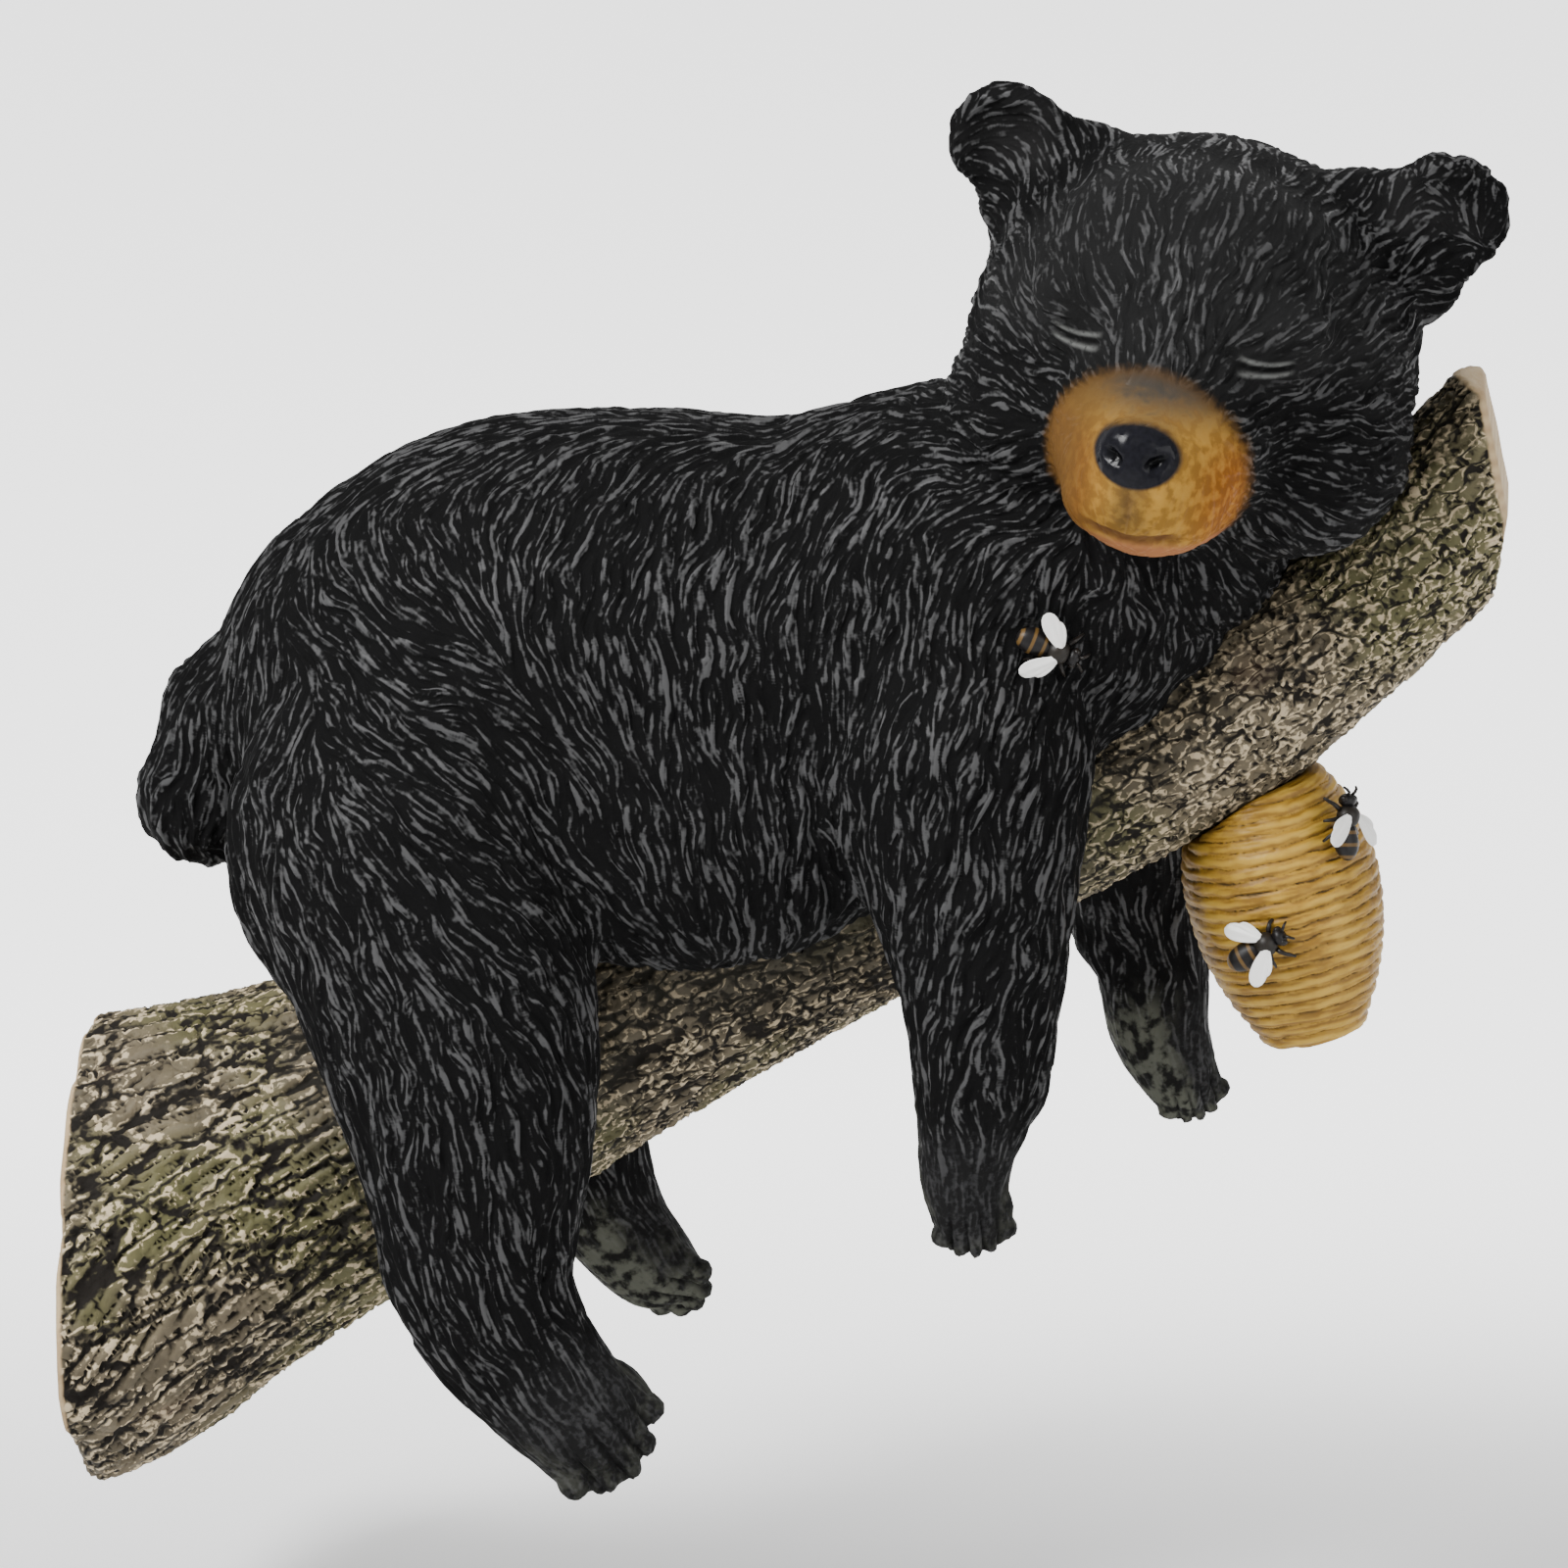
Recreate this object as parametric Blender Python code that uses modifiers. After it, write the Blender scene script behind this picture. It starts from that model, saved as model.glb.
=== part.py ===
"""Hanging statue of a bear cub asleep along a sawn tree limb, with a skep under the limb and three bees.

Metres, +Z up. The limb's sawn butt lies flat against a trunk or wall in the plane X = 0, and the
origin is the middle of that face. The limb grows out along +X, and the cub looks towards -Y.
"""

import math

import bmesh
import bpy
from mathutils import Matrix, Vector, noise
from mathutils.bvhtree import BVHTree

# Driving dimensions
CUB_LENGTH = 0.300
LIMB_REACH = 0.3135
LIMB_RISE = 0.1906
BUTT_RADIUS = 0.0540
TIP_RADIUS = 0.0140
HIVE_HEIGHT = 0.070
HIVE_RADIUS = 0.0224
HIVE_COILS = 17
BEE_LENGTH = 0.0165
SEAT_GAP = 0.0003

# The limb
LIMB_SIDES = 26
LIMB_RINGS = 28
BARK_SWELL = 0.035
BARK_FLUTE = 0.028
TIP_CUT_TILT = math.radians(12)
TIP_TRIM_TILT = math.radians(68)
TIP_TRIM = 0.0075

# The cub, with its places in hundredths of CUB_LENGTH from its seat on the limb
SEAT_SHARE = 0.3075
CUB_GRAIN = 0.0060
CUB_SOFTEN = 3
CUB_KEEP = 0.0345
HEAD_PLACE = (45.3, -4.7, 52.0)
HEAD_ROLL = math.radians(7.5)
HEAD_YAW = math.radians(-6)
HEAD_PITCH = math.radians(-3)
EAR_ACROSS = 16.1
EAR_SHIFT = 0.6
EAR_AHEAD = -1.5
EAR_ABOVE = 13.6
EAR_SIZE = 5.1
EAR_ROOT = (7.0, 3.2, 4.8)
EAR_ROOT_IN = 1.0
EAR_RIM = 1.15
EAR_LEAN = math.radians(40)
EAR_TURN = math.radians(8)
TOE_ARC = 0.45
LOCK_WIDTH = 3.2
LOCK_RUN = 11.0
LOCK_WAVE = 9.0
LOCK_SAG = 1.2
LOCK_SHARPNESS = 3.2
LOCK_DEPTH = 0.34
HEAD_LOCKS = 6.0
CLAW_THICK = 0.26
CLAW_REACH = 0.9
CLAW_OUT = 0.55

# The skep
HIVE_SHARE = 0.728
HIVE_DROP = 0.0110
HIVE_LEAN = math.radians(13)
HIVE_SIDES = 22
COIL_DEPTH = 0.045

# The bees: each one's seat is where a line strikes its host, and its heading is taken along the surface
BEE_GRAIN = 0.024
BEE_GIRTH = 1.15
BEE_KEEP = 0.040
WING_SPREAD = math.radians(38)
WING_TILT = math.radians(8)
CHEST_BEE_START = (35.6, -60.0, 33.1)
CHEST_BEE_HEADING = (0.92, 0.0, -0.40)
FRONT_BEE_SHARE = 0.39
FRONT_BEE_BEARING = math.radians(-13)
FRONT_BEE_HEADING = (0.85, 0.0, 0.50)
SIDE_BEE_SHARE = 0.72
SIDE_BEE_BEARING = math.radians(50)
SIDE_BEE_HEADING = (0.25, 0.0, 0.95)


def clear_scene():
    for thing in list(bpy.data.objects):
        bpy.data.objects.remove(thing)


def collection(name):
    made = bpy.data.collections.new(name)
    bpy.context.scene.collection.children.link(made)
    return made


def material(name, colour, roughness, metallic=0.0):
    made = bpy.data.materials.new(name)
    made.use_nodes = True
    shader = made.node_tree.nodes["Principled BSDF"]
    shader.inputs["Base Color"].default_value = (*colour, 1)
    shader.inputs["Roughness"].default_value = roughness
    shader.inputs["Metallic"].default_value = metallic
    return made


def object_of(name, bm, finish, group):
    mesh = bpy.data.meshes.new(name)
    bm.to_mesh(mesh)
    bm.free()
    made = bpy.data.objects.new(name, mesh)
    if finish:
        mesh.materials.append(finish)
    group.objects.link(made)
    return made


def as_cutter(thing):
    thing.hide_render = True
    thing.display_type = "WIRE"
    return thing


def frozen(thing, name, group):
    """A plain mesh copy of an object as its modifiers leave it."""
    graph = bpy.context.evaluated_depsgraph_get()
    mesh = bpy.data.meshes.new_from_object(thing.evaluated_get(graph))
    mesh.transform(thing.matrix_world)
    copy = bpy.data.objects.new(name, mesh)
    group.objects.link(copy)
    return copy


def grown(thing, group):
    """A cutter with the object's shape, larger all over by the gap that two touching pieces keep."""
    cutter = as_cutter(frozen(thing, thing.name + "_cutter", group))
    swell = cutter.modifiers.new("gap", "DISPLACE")
    swell.strength = SEAT_GAP
    swell.mid_level = 0
    return cutter


def cut(thing, cutter):
    boolean = thing.modifiers.new("cut by " + cutter.name, "BOOLEAN")
    boolean.operation = "DIFFERENCE"
    boolean.object = cutter


def smooth_path(points, share):
    """The point at a share of the way along a smooth curve through the points."""
    last = len(points) - 1
    where = min(max(share, 0.0), 1.0) * last
    i = min(int(where), last - 1)
    t = where - i
    before = points[max(i - 1, 0)]
    start, end = points[i], points[i + 1]
    after = points[min(i + 2, last)]
    return 0.5 * (
        2 * start
        + (end - before) * t
        + (2 * before - 5 * start + 4 * end - after) * t ** 2
        + (3 * start - before - 3 * end + after) * t ** 3
    )


# The limb's heart line, in shares of its reach and rise, with its radius between butt and tip
LIMB_LINE = [
    Vector((0.000, 0.000, 0.000)),
    Vector((0.128, 0.000, 0.096)),
    Vector((0.290, 0.000, 0.222)),
    Vector((0.441, 0.000, 0.365)),
    Vector((0.592, 0.000, 0.490)),
    Vector((0.733, 0.000, 0.599)),
    Vector((0.854, 0.000, 0.724)),
    Vector((0.942, 0.000, 0.856)),
    Vector((1.000, 0.000, 1.000)),
]
LIMB_TAPER = [1.00, 0.67, 0.49, 0.415, 0.33, 0.245, 0.205, 0.16, 0.06]


def limb_point(share):
    place = smooth_path(LIMB_LINE, share)
    return Vector((place.x * LIMB_REACH, 0, place.z * LIMB_RISE))


def limb_way(share):
    step = 0.01
    return (limb_point(share + step) - limb_point(share - step)).normalized()


def limb_radius(share):
    between = smooth_path([Vector((t, 0, 0)) for t in LIMB_TAPER], share).x
    return TIP_RADIUS + (BUTT_RADIUS - TIP_RADIUS) * between


def bark_swell(share, angle):
    """How far the bark stands out, as a share of the radius: slow swellings and long flutes."""
    slow = math.sin(7.1 * share + 1.3) * math.cos(2 * angle + 4.0 * share)
    knot = math.sin(17.0 * share + 2 * math.cos(angle))
    flute = math.cos(7 * angle + 6.0 * share) + 0.6 * math.cos(11 * angle - 9.0 * share + 1.0)
    return 1 + BARK_SWELL * (slow + 0.4 * knot) + BARK_FLUTE * flute * 0.6


def saw_off(bm, place, out):
    """Cut a closed mesh flat at a plane and close it there."""
    geometry = bm.verts[:] + bm.edges[:] + bm.faces[:]
    cut = bmesh.ops.bisect_plane(bm, geom=geometry, plane_co=place, plane_no=out, clear_outer=True)
    bmesh.ops.edgeloop_fill(bm, edges=[e for e in cut["geom_cut"] if isinstance(e, bmesh.types.BMEdge)])


def build_limb(group):
    """A round limb whose rings stand square to its heart line, sawn flat at the butt and twice at the tip."""
    bm = bmesh.new()
    rings = []
    first, last = -0.06, 1.10
    for i in range(LIMB_RINGS + 1):
        share = first + (last - first) * i / LIMB_RINGS
        inside = min(max(share, 0.0), 1.0)
        way = limb_way(min(max(share, 0.01), 0.99))
        middle = limb_point(inside) + way * (share - inside) * LIMB_REACH
        up = way.cross(Vector((0, -1, 0))).normalized()
        side = Vector((0, 1, 0))
        ring = []
        for j in range(LIMB_SIDES):
            angle = 2 * math.pi * j / LIMB_SIDES
            reach = limb_radius(inside) * bark_swell(share, angle)
            out = up * math.sin(angle) + side * math.cos(angle)
            ring.append(bm.verts.new(middle + out * reach))
        rings.append(ring)
    for low, high in zip(rings, rings[1:]):
        for j in range(LIMB_SIDES):
            k = (j + 1) % LIMB_SIDES
            bm.faces.new((low[j], low[k], high[k], high[j]))
    bm.faces.new(reversed(rings[0]))
    bm.faces.new(rings[-1])
    bmesh.ops.recalc_face_normals(bm, faces=bm.faces)
    saw_off(bm, Vector((0, 0, 0)), Vector((-1, 0, 0)))
    saw_off(bm, limb_point(1.0), Vector((math.cos(TIP_CUT_TILT), 0, math.sin(TIP_CUT_TILT))))
    trim_out = Vector((math.cos(TIP_TRIM_TILT), 0, math.sin(TIP_TRIM_TILT)))
    corner = max(bm.verts, key=lambda v: v.co.dot(trim_out)).co
    saw_off(bm, corner - trim_out * TIP_TRIM, trim_out)
    bmesh.ops.recalc_face_normals(bm, faces=bm.faces)
    bark = material("bark_paint", (0.20, 0.17, 0.11), 0.75)
    return object_of("limb", bm, bark, group)


def at(x, y, z):
    """A place on the cub, in hundredths of its length from its seat on the limb."""
    return limb_point(SEAT_SHARE) + Vector((x, y, z)) * CUB_LENGTH / 100


def unit_ball(segments=20, rings=12):
    """The points and faces of a ball of radius 1, from which every lump is pressed."""
    bm = bmesh.new()
    bmesh.ops.create_uvsphere(bm, u_segments=segments, v_segments=rings, radius=1)
    points = [v.co.copy() for v in bm.verts]
    faces = [[v.index for v in face.verts] for face in bm.faces]
    bm.free()
    return points, faces


class Clay:
    """A heap of rounded lumps, each placed on its own, that a voxel skin makes into one body."""

    def __init__(self, unit):
        self.unit = unit
        self.points = []
        self.faces = []
        self.ball = unit_ball()

    def lump(self, centre, radii, turn=None):
        """One ellipsoid, with its radii in the clay's unit."""
        size = Matrix.Diagonal((*(r * self.unit for r in radii), 1))
        placing = Matrix.Translation(centre) @ (turn or Matrix()) @ size
        first = len(self.points)
        points, faces = self.ball
        self.points.extend(placing @ point for point in points)
        self.faces.extend([first + i for i in face] for face in faces)

    def limb(self, places, radii, flat=1.0, count=22):
        """Balls packed along a smooth path, flattened across the view by a share."""
        sizes = [Vector((r, 0, 0)) for r in radii]
        for i in range(count + 1):
            share = i / count
            r = smooth_path(sizes, share).x
            self.lump(smooth_path(places, share), (r, r * flat, r))

    def skinned(self, name, finish, group, grain, soften):
        """One closed and softened skin over all the lumps, as a plain mesh."""
        mesh = bpy.data.meshes.new(name)
        mesh.from_pydata(self.points, [], self.faces)
        mesh.materials.append(finish)
        made = bpy.data.objects.new(name, mesh)
        group.objects.link(made)
        skin = made.modifiers.new("one skin", "REMESH")
        skin.mode = "VOXEL"
        skin.voxel_size = grain
        ease = made.modifiers.new("soften", "SMOOTH")
        ease.factor = 0.5
        ease.iterations = soften
        body = frozen(made, name, group)
        bpy.data.objects.remove(made)
        body.name = name
        return body


def thinned(thing, keep):
    thin = thing.modifiers.new("fewer faces", "DECIMATE")
    thin.ratio = keep
    return thing


def facing(way):
    """A turn that lays the Z axis along a direction."""
    return Vector(way).to_track_quat("Z", "Y").to_matrix().to_4x4()


def head_frame():
    """The head's own axes: X to its left cheek as seen, -Y along the muzzle and Z to the crown."""
    turn = Matrix.Rotation(HEAD_ROLL, 4, "Y")
    turn = turn @ Matrix.Rotation(HEAD_YAW, 4, "Z") @ Matrix.Rotation(-HEAD_PITCH, 4, "X")
    return Matrix.Translation(at(*HEAD_PLACE)) @ turn


def shape_torso(clay):
    """A barrel of a body along the spine, with full flanks and shoulders, and a stub of a tail."""
    spine = [
        at(-11.0, 0, 25.4), at(-4.5, 0, 28.2), at(5.0, 0, 29.1), at(14.5, 0, 28.9), at(22.5, 0, 30.6),
        at(29.5, -1.0, 33.6), at(36.0, -2.5, 37.5),
    ]
    clay.limb(spine, (16.2, 17.4, 17.5, 17.0, 16.8, 16.0, 14.0), 0.94, 30)
    clay.lump(at(44.0, -4.0, 39.5), (9.0, 9.5, 8.5))
    for side in (-1, 1):
        clay.lump(at(7.5, side * 9.0, 19.5), (19.5, 8.5, 13.0))
        clay.lump(at(27.0, side * 10.5, 25.5), (11.5, 7.0, 14.0))
        clay.lump(at(-6.5, side * 9.5, 23.0), (14.0, 8.0, 13.0))
    clay.lump(at(-28.2, 0, 16.6), (5.2, 4.6, 5.6))
    clay.lump(at(-25.8, 0, 22.6), (5.8, 5.2, 6.4))


def shape_legs(clay):
    """Four hanging legs, each from its root on the body to the ball of its paw."""
    for side in (-1, 1):
        clay.lump(at(-12.4, side * 11.5, 16.2), (13.0, 8.8, 15.0))
    near_hind = [
        at(-11.5, -13.0, 15.0), at(-8.2, -16.2, 5.5), at(-6.6, -17.6, -2.5), at(-6.2, -18.0, -9.0),
        at(-6.0, -18.2, -14.6), at(-3.4, -18.5, -19.8), at(1.0, -18.9, -25.0),
    ]
    clay.limb(near_hind, (12.0, 10.9, 9.4, 7.9, 7.0, 6.0, 4.9), 0.86)
    far_hind = [
        at(-11.0, 13.0, 15.0), at(-8.0, 15.8, 5.5), at(-5.0, 16.4, -3.0), at(-3.0, 16.6, -9.5),
        at(-1.6, 16.8, -15.0), at(0.4, 17.0, -20.6), at(3.6, 17.2, -24.6),
    ]
    clay.limb(far_hind, (12.0, 10.4, 8.0, 6.2, 5.2, 4.4, 3.9), 0.86)
    near_fore = [
        at(29.0, -12.0, 24.0), at(30.2, -14.2, 13.0), at(30.7, -15.0, 6.5), at(30.8, -15.2, 0.6),
        at(29.7, -15.2, -3.8), at(29.4, -15.2, -7.4), at(29.8, -15.6, -9.6),
    ]
    clay.limb(near_fore, (10.0, 7.4, 6.0, 5.1, 4.0, 3.5, 3.0), 0.95)
    far_fore = [
        at(34.0, 11.0, 22.0), at(39.2, 14.0, 11.0), at(41.4, 14.8, 4.8), at(42.4, 15.0, 0.0),
        at(42.5, 15.2, -4.0), at(43.7, 15.3, -7.0), at(44.8, 15.2, -8.8),
    ]
    clay.limb(far_fore, (10.0, 6.6, 4.8, 4.3, 4.1, 3.5, 2.7), 0.95)
    clay.lump(at(39.0, 14.0, 3.6), (3.2, 3.0, 3.6))


# Each paw: where its toes fan from, the way they point, the way across them, half their spread, their size
PAWS = {
    "near_hind": ((3.4, -19.1, -26.8), (0.62, -0.16, -0.77), (0.66, 0.42, 0.62), 3.9, 2.1),
    "far_hind": ((5.6, 17.3, -26.2), (0.72, 0.05, -0.69), (0.55, -0.55, 0.62), 3.0, 1.7),
    "near_fore": ((30.2, -15.8, -10.8), (0.10, -0.12, -0.99), (0.97, 0.12, 0.10), 2.4, 1.45),
    "far_fore": ((45.3, 15.2, -9.6), (0.35, 0.0, -0.93), (0.90, 0.25, 0.34), 2.2, 1.30),
}


def toe_places(paw):
    """The middle of each of a paw's five toes, on a shallow arc, and the way they point."""
    root, way, across, spread, size = PAWS[paw]
    way = Vector(way).normalized()
    across = Vector(across).normalized()
    for i in range(-2, 3):
        lead = TOE_ARC * spread * (1 - (i / 2) ** 2)
        yield at(*root) + (across * spread * i / 2 + way * lead) * CUB_LENGTH / 100, way, size


def shape_toes(clay):
    for paw in PAWS:
        for place, way, size in toe_places(paw):
            for step in (-1.2, -0.6, 0.0):
                clay.lump(place + way * step * size * clay.unit, (size * 0.60, size * 0.60, size * 0.60))


def build_claws(finish, tools):
    """One short pointed claw for each toe, joined to the cub after its skin is made."""
    claws = bmesh.new()
    for paw in PAWS:
        for place, way, size in toe_places(paw):
            reach = size * CUB_LENGTH / 100
            tip = place + way * reach * CLAW_OUT
            bmesh.ops.create_cone(
                claws, cap_ends=True, segments=6,
                radius1=reach * CLAW_THICK, radius2=reach * CLAW_THICK * 0.2,
                depth=reach * CLAW_REACH, matrix=Matrix.Translation(tip) @ facing(way),
            )
    return as_cutter(object_of("claws", claws, finish, tools))


def shape_head(clay):
    head = head_frame()
    turn = head.to_3x3().to_4x4()

    def place(across, ahead, above):
        return head @ (Vector((across, -ahead, above)) * clay.unit)

    clay.lump(place(0, 0, 0.8), (16.8, 15.4, 16.2), turn)
    clay.lump(place(0, 5.0, 6.0), (12.8, 11.0, 10.6), turn)
    clay.lump(place(0, 12.5, 2.6), (6.0, 7.0, 5.4), turn)
    muzzle = [place(0, 8, -0.8), place(0, 15.0, -2.0), place(0, 20.6, -3.0)]
    clay.limb(muzzle, (9.2, 7.8, 5.5), 1.0, 12)
    clay.lump(place(0, 14.5, -6.0), (6.2, 8.2, 4.4), turn)
    clay.lump(place(-0.3, 24.2, -0.4), (3.4, 2.2, 2.6), turn)
    for side in (-1, 1):
        clay.lump(place(side * 8.3, 2.0, -4.2), (9.1, 11.2, 8.2), turn)
        clay.lump(place(side * 6.9, 12.2, 7.2), (4.4, 3.0, 2.6), turn)
        clay.lump(place(side * 6.9, 12.9, 4.3), (2.6, 1.7, 1.4), turn)
        clay.lump(place(side * 2.6, 19.8, -4.8), (3.6, 4.2, 3.5), turn)
        shape_ear(clay, place(side * EAR_ACROSS + EAR_SHIFT, EAR_AHEAD, EAR_ABOVE), turn, side)


def shape_ear(clay, middle, turn, side):
    """A round ear: a thin back plate with a thick rim around it that leaves a cup facing ahead."""
    lean = turn @ Matrix.Rotation(side * EAR_LEAN, 4, "Y") @ Matrix.Rotation(side * EAR_TURN, 4, "Z")
    axes = lean.to_3x3()
    clay.lump(middle + axes @ Vector((0, 1.0, 0)) * clay.unit, (EAR_SIZE * 0.82, 1.1, EAR_SIZE * 0.82), lean)
    for i in range(-8, 9):
        angle = math.radians(16 * i)
        rim = Vector((math.sin(angle), 0, math.cos(angle))) * (EAR_SIZE - EAR_RIM)
        clay.lump(middle + axes @ rim * clay.unit, (EAR_RIM, EAR_RIM, EAR_RIM))
    root = Vector((-side * EAR_ROOT_IN, 1.2, -EAR_SIZE * 0.95))
    clay.lump(middle + axes @ root * clay.unit, EAR_ROOT, lean)


def between(value, low, high):
    """0 up to the low bound, 1 from the high bound, and a smooth rise in the middle."""
    share = min(max((value - low) / (high - low), 0.0), 1.0)
    return share * share * (3 - 2 * share)


def lock_height(along, across, run):
    """The height of the fur, from 0 to 1: long ridges along one coordinate that pack across the others."""
    ripple = noise.noise(Vector((along / run, across.x, across.y)))
    return 1 - min(abs(ripple) * LOCK_SHARPNESS, 1.0)


def comb_locks(cub):
    """Carve the coat's locks: along the body, down the legs and away from the muzzle on the head."""
    head = head_frame().inverted()
    unit = CUB_LENGTH / 100
    normals = [v.normal.copy() for v in cub.data.vertices]
    for vertex, normal in zip(cub.data.vertices, normals):
        x, y, z = (vertex.co - at(0, 0, 0)) / unit
        face = (head @ vertex.co) / unit
        on_head = 1 - between(face.length, 19, 24)
        on_leg = (1 - between(z, 2, 12)) * between(abs(y), 7, 11)
        sag = LOCK_SAG * math.sin(x / LOCK_WAVE)
        body = lock_height(x, Vector((y, z + sag)) / LOCK_WIDTH, LOCK_RUN)
        leg = lock_height(z, Vector((x + sag, y)) / LOCK_WIDTH, LOCK_RUN)
        crown = face.normalized() * HEAD_LOCKS
        head_lock = lock_height(face.length, Vector((crown.x, crown.z)), LOCK_RUN)
        height = on_head * head_lock + (1 - on_head) * (on_leg * leg + (1 - on_leg) * body)
        on_snout = between(-face.y, 12, 17) * on_head
        on_ear = between(face.z, 11, 13) * on_head
        bare = max(on_snout, 1 - between(z, -24, -16), on_ear)
        vertex.co += normal * (height - 0.5) * (1 - bare) * LOCK_DEPTH * unit


def build_cub(group, tools, limb_cutter):
    clay = Clay(CUB_LENGTH / 100)
    shape_torso(clay)
    shape_legs(clay)
    shape_toes(clay)
    shape_head(clay)
    coat = material("black_coat_paint", (0.018, 0.018, 0.019), 0.55)
    cub = clay.skinned("bear", coat, group, CUB_GRAIN * CUB_LENGTH, CUB_SOFTEN)
    comb_locks(cub)
    thinned(cub, CUB_KEEP)
    join = cub.modifiers.new("claws on", "BOOLEAN")
    join.operation = "UNION"
    join.object = build_claws(coat, tools)
    cut(cub, limb_cutter)
    return cub


def hive_profile(height):
    """The skep's radius at a share of its height from the floor up, without the coils."""
    line = [0.54, 0.76, 0.92, 1.00, 1.00, 0.90, 0.66, 0.34]
    return HIVE_RADIUS * smooth_path([Vector((r, 0, 0)) for r in line], height).x


def build_hive(group, limb_cutter):
    """A turned skep of stacked straw coils that leans a little and runs up into the limb."""
    rows = [(0.0, 0.0)]
    for i in range(HIVE_COILS):
        for part, bulge in ((0.0, 0.0), (0.5, 1.0)):
            share = (i + part) / HIVE_COILS
            rows.append((hive_profile(share) * (1 - COIL_DEPTH * (1 - bulge)), share * HIVE_HEIGHT))
    rows.append((0.0, HIVE_HEIGHT))
    bm = bmesh.new()
    verts = [bm.verts.new((r, 0, z)) for r, z in reversed(rows)]
    for a, b in zip(verts, verts[1:]):
        bm.edges.new((a, b))
    straw = material("straw_paint", (0.56, 0.36, 0.11), 0.6)
    hive = object_of("hive", bm, straw, group)
    screw = hive.modifiers.new("turned", "SCREW")
    screw.steps = screw.render_steps = HIVE_SIDES
    screw.use_merge_vertices = True
    screw.merge_threshold = 0.00001
    top = limb_point(HIVE_SHARE) - Vector((0, 0, HIVE_DROP))
    hive.rotation_euler = (0, -HIVE_LEAN, 0)
    hive.location = top - Matrix.Rotation(-HIVE_LEAN, 3, "Y") @ Vector((0, 0, HIVE_HEIGHT))
    bpy.context.view_layer.update()
    cut(hive, limb_cutter)
    return hive


def shape_bee(clay):
    """A bee in its own axes, with its head towards +Y and its back up, in shares of its length."""
    clay.lump(Vector((0, -0.26, 0.135 * BEE_GIRTH)) * clay.unit, (0.155 * BEE_GIRTH, 0.26, 0.135 * BEE_GIRTH))
    clay.lump(Vector((0, 0.10, 0.165 * BEE_GIRTH)) * clay.unit, (0.150 * BEE_GIRTH, 0.165, 0.150 * BEE_GIRTH))
    clay.lump(Vector((0, 0.33, 0.150 * BEE_GIRTH)) * clay.unit, (0.115 * BEE_GIRTH, 0.095, 0.110 * BEE_GIRTH))
    for side in (-1, 1):
        spread = Matrix.Rotation(side * WING_SPREAD, 4, "Z") @ Matrix.Rotation(side * WING_TILT, 4, "Y")
        root = Vector((side * 0.06, 0.12, 0.27 * BEE_GIRTH))
        middle = root + spread.to_3x3() @ Vector((0, -0.27, 0))
        clay.lump(middle * clay.unit, (0.13, 0.29, 0.032), spread)


def perch(bee, host, start, shot, heading):
    """Set a bee on a host where a straight line strikes it, along a heading, clear by the seat gap."""
    graph = bpy.context.evaluated_depsgraph_get()
    surface = BVHTree.FromObject(host, graph)
    into = host.matrix_world.inverted()
    turn_in = into.to_3x3()
    struck, normal = surface.ray_cast(into @ start, (turn_in @ shot).normalized())[:2]
    seat = host.matrix_world @ struck
    up = (host.matrix_world.to_3x3() @ normal).normalized()
    ahead = (heading - up * heading.dot(up)).normalized()
    turn = Matrix((ahead.cross(up), ahead, up)).transposed()
    shell = [turn @ v.co for v in bee.evaluated_get(graph).data.vertices]
    room = BEE_LENGTH
    for point in shell:
        above = seat + point + up * BEE_LENGTH
        under = surface.ray_cast(into @ above, (turn_in @ -up).normalized())
        if under[0] is not None:
            room = min(room, under[3] - BEE_LENGTH)
    bee.matrix_world = Matrix.Translation(seat - up * (room - SEAT_GAP)) @ turn.to_4x4()


def build_bee(name, group, paint):
    clay = Clay(BEE_LENGTH)
    shape_bee(clay)
    return thinned(clay.skinned(name, paint, group, BEE_GRAIN * BEE_LENGTH, 1), BEE_KEEP)


def hive_spot(hive, share, bearing):
    """A start well outside the skep, level with a share of its height, and the way in to its axis."""
    out = Vector((math.sin(bearing), -math.cos(bearing), 0))
    axis = hive.matrix_world
    start = axis @ (out * HIVE_RADIUS * 3 + Vector((0, 0, share * HIVE_HEIGHT)))
    return start, -(axis.to_3x3() @ out)


def main():
    clear_scene()
    group = collection("bear_statue")
    tools = collection("cutters")
    limb = build_limb(group)
    limb_cutter = grown(limb, tools)
    cub = build_cub(group, tools, limb_cutter)
    hive = build_hive(group, limb_cutter)
    paint = material("bee_paint", (0.05, 0.035, 0.015), 0.4)
    chest = build_bee("bee_on_chest", group, paint)
    front = build_bee("bee_on_hive_front", group, paint)
    flank = build_bee("bee_on_hive_side", group, paint)
    bpy.context.view_layer.update()
    perch(chest, cub, at(*CHEST_BEE_START), Vector((0, 1, 0)), Vector(CHEST_BEE_HEADING))
    perch(front, hive, *hive_spot(hive, FRONT_BEE_SHARE, FRONT_BEE_BEARING), Vector(FRONT_BEE_HEADING))
    perch(flank, hive, *hive_spot(hive, SIDE_BEE_SHARE, SIDE_BEE_BEARING), Vector(SIDE_BEE_HEADING))


main()
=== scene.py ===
"""The looks of the hanging bear cub statue: its carved coat, bark, straw skep and bees, and their paint."""

import itertools
import math

import bmesh
import bpy
import numpy as np
from mathutils import Matrix, Vector, kdtree


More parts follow.
